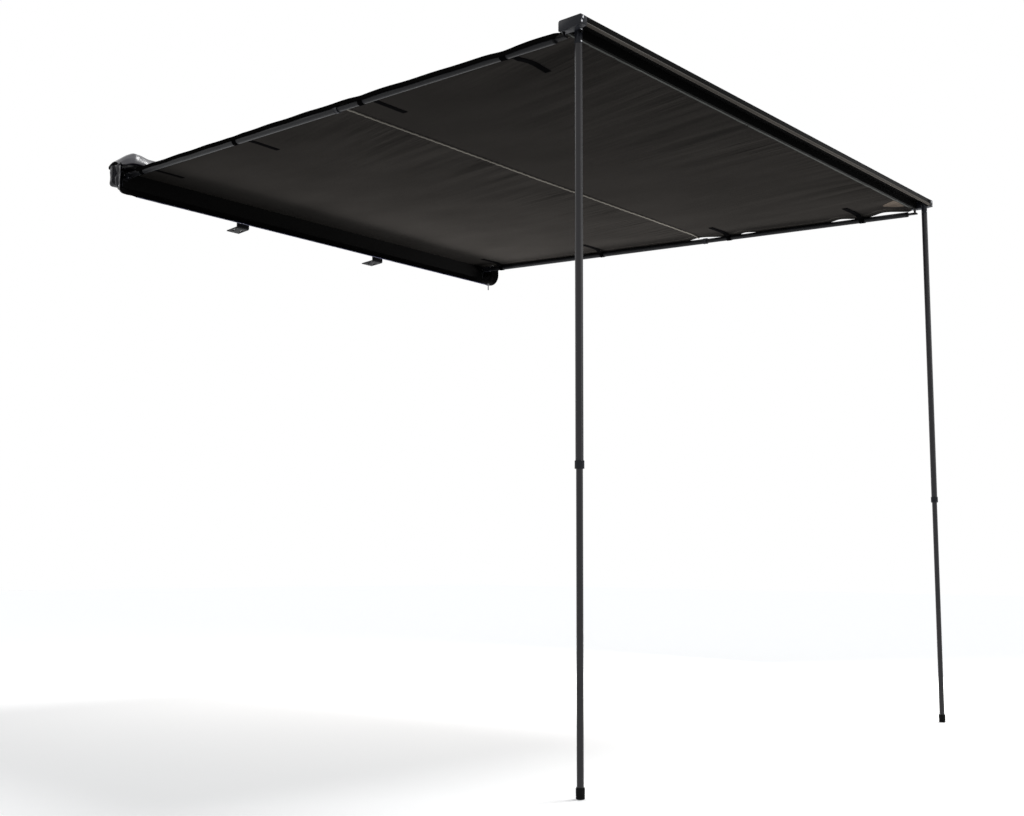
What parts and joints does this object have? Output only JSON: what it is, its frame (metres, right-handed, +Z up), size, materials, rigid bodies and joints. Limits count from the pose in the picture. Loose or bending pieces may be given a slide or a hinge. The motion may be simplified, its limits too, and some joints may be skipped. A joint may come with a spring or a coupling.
{
  "type": "vehicle side awning",
  "caption": "Vehicle side awning, set up: a canopy on hinged rafters between a roof-rack rail in an open bag and a front rail on folding telescopic legs.",
  "frame": {"origin": "mid-length of the rear rail, on its back face, level with the undersides of the roof-rack brackets, 2.0 m above the ground", "axes": "+Z up, +Y towards the vehicle, +X along the rails; the canopy reaches out towards -Y and the near end is at -X"},
  "size_m": [2.0924, 2.521, 2.1656],
  "materials": {
    "black_powder_coat": "satin black powder coat",
    "black_coated_steel": "semi-matt black powder coat",
    "black_plastic": "fine-grained moulded black",
    "zinc_steel": "bright zinc plate",
    "black_rubber": "matt",
    "canopy_cloth": "coated polyester and cotton canvas",
    "grey_piping": "woven tape",
    "black_webbing": "woven webbing",
    "bag_vinyl": "glossy coated vinyl",
    "zip_coil": "moulded zip teeth"
  },
  "bodies": {
    "rail_base": {"rear_rail": "black_powder_coat", "rear_end_plate_near": "black_plastic", "rear_end_plate_far": "black_plastic", "hinge_bracket_near": "black_coated_steel", "hinge_bracket_far": "black_coated_steel", "tilt_pin_near": "zinc_steel", "tilt_pin_far": "zinc_steel", "roof_bracket_near": "black_coated_steel", "roof_bracket_far": "black_coated_steel", "bracket_bolt_near": "zinc_steel", "bracket_bolt_far": "zinc_steel", "bracket_nut_near": "zinc_steel", "bracket_nut_far": "zinc_steel", "bag_lower_flap": "bag_vinyl", "bag_top_flap": "bag_vinyl", "zip_track": "zip_coil"},
    "slider": {"zip_slider": "zinc_steel"},
    "canopy_frame": {"hinge_block_near": "black_plastic", "hinge_block_far": "black_plastic", "swing_pin_near": "zinc_steel", "swing_pin_far": "zinc_steel", "canopy": "canopy_cloth", "strap_near_first": "black_webbing", "strap_near_second": "black_webbing", "strap_near_third": "black_webbing", "strap_near_fourth": "black_webbing", "strap_far_first": "black_webbing", "strap_far_second": "black_webbing", "strap_far_third": "black_webbing", "strap_far_fourth": "black_webbing"},
    "near_rafter": {"rafter_knuckle_near": "black_plastic", "rafter_outer_tube_near": "black_powder_coat"},
    "near_rafter_collar": {"rafter_lock_collar_near": "black_plastic"},
    "near_rafter_inner": {"rafter_inner_tube_near": "black_powder_coat", "rafter_tip_near": "zinc_steel"},
    "far_rafter": {"rafter_knuckle_far": "black_plastic", "rafter_outer_tube_far": "black_powder_coat"},
    "far_rafter_collar": {"rafter_lock_collar_far": "black_plastic"},
    "far_rafter_inner": {"rafter_inner_tube_far": "black_powder_coat", "rafter_tip_far": "zinc_steel"},
    "front_beam": {"front_rail": "black_powder_coat", "end_cap_near": "black_plastic", "end_cap_far": "black_plastic", "leg_bracket_near": "black_coated_steel", "leg_bracket_far": "black_coated_steel", "leg_pivot_pin_near": "zinc_steel", "leg_pivot_pin_far": "zinc_steel"},
    "near_leg": {"leg_knuckle_near": "black_plastic", "leg_upper_tube_near": "black_powder_coat"},
    "near_leg_collar": {"leg_lock_collar_near": "black_plastic"},
    "near_leg_lower": {"leg_lower_tube_near": "black_powder_coat", "leg_foot_near": "black_rubber"},
    "far_leg": {"leg_knuckle_far": "black_plastic", "leg_upper_tube_far": "black_powder_coat"},
    "far_leg_collar": {"leg_lock_collar_far": "black_plastic"},
    "far_leg_lower": {"leg_lower_tube_far": "black_powder_coat", "leg_foot_far": "black_rubber"}
  },
  "joints": [
    {"name": "canopy_pitch", "type": "hinge", "parent": "rail_base", "child": "canopy_frame", "pos_m": [0, -0.038, 0.082], "axis": [-1, 0, 0], "range_deg": [0, 8]},
    {"name": "near_rafter_swing", "type": "hinge", "parent": "canopy_frame", "child": "near_rafter", "pos_m": [-0.99, -0.05792, 0.08019], "axis": [0, -0.0905, 0.9959], "range_deg": [0, 90]},
    {"name": "near_rafter_telescope", "type": "slide", "parent": "near_rafter", "child": "near_rafter_inner", "axis": [0, 0.9959, 0.0905], "range_m": [0, 0.9]},
    {"name": "near_rafter_lock", "type": "hinge", "parent": "near_rafter", "child": "near_rafter_collar", "pos_m": [-0.99, -1.43, -0.04447], "axis": [0, -0.9959, -0.0905], "range_deg": [0, 90]},
    {"name": "far_rafter_swing", "type": "hinge", "parent": "canopy_frame", "child": "far_rafter", "pos_m": [0.99, -0.08381, 0.07784], "axis": [0, 0.0905, -0.9959], "range_deg": [0, 90]},
    {"name": "far_rafter_telescope", "type": "slide", "parent": "far_rafter", "child": "far_rafter_inner", "axis": [0, 0.9959, 0.0905], "range_m": [0, 0.9]},
    {"name": "far_rafter_lock", "type": "hinge", "parent": "far_rafter", "child": "far_rafter_collar", "pos_m": [0.99, -1.43, -0.04447], "axis": [0, -0.9959, -0.0905], "range_deg": [0, 90]},
    {"name": "front_rail_travel", "type": "slide", "parent": "canopy_frame", "child": "front_beam", "axis": [0, 0.9959, 0.0905], "range_m": [0, 2.14], "deforming": ["canopy", "strap_near_first", "strap_near_second", "strap_near_third", "strap_near_fourth", "strap_far_first", "strap_far_second", "strap_far_third", "strap_far_fourth"]},
    {"name": "near_leg_fold", "type": "hinge", "parent": "front_beam", "child": "near_leg", "pos_m": [-0.963, -2.397, -0.107], "axis": [0, -1, 0], "range_deg": [0, 90]},
    {"name": "near_leg_slide", "type": "slide", "parent": "near_leg", "child": "near_leg_lower", "axis": [0, 0, 1], "range_m": [0, 0.74]},
    {"name": "near_leg_lock", "type": "hinge", "parent": "near_leg", "child": "near_leg_collar", "pos_m": [-0.963, -2.397, -1.215], "axis": [0, 0, 1], "range_deg": [0, 90]},
    {"name": "far_leg_fold", "type": "hinge", "parent": "front_beam", "child": "far_leg", "pos_m": [0.963, -2.42, -0.107], "axis": [0, 1, 0], "range_deg": [0, 90]},
    {"name": "far_leg_slide", "type": "slide", "parent": "far_leg", "child": "far_leg_lower", "axis": [0, 0, 1], "range_m": [0, 0.74]},
    {"name": "far_leg_lock", "type": "hinge", "parent": "far_leg", "child": "far_leg_collar", "pos_m": [0.963, -2.42, -1.215], "axis": [0, 0, 1], "range_deg": [0, 90]},
    {"name": "zip_slide", "type": "slide", "parent": "rail_base", "child": "slider", "axis": [-1, 0, 0], "range_m": [0, 1.92]}
  ],
  "couplings": [
    {"joint": "near_rafter_telescope", "follows": "near_rafter_swing", "m_per_rad": 0.57},
    {"joint": "far_rafter_telescope", "follows": "far_rafter_swing", "m_per_rad": 0.57}
  ]
}
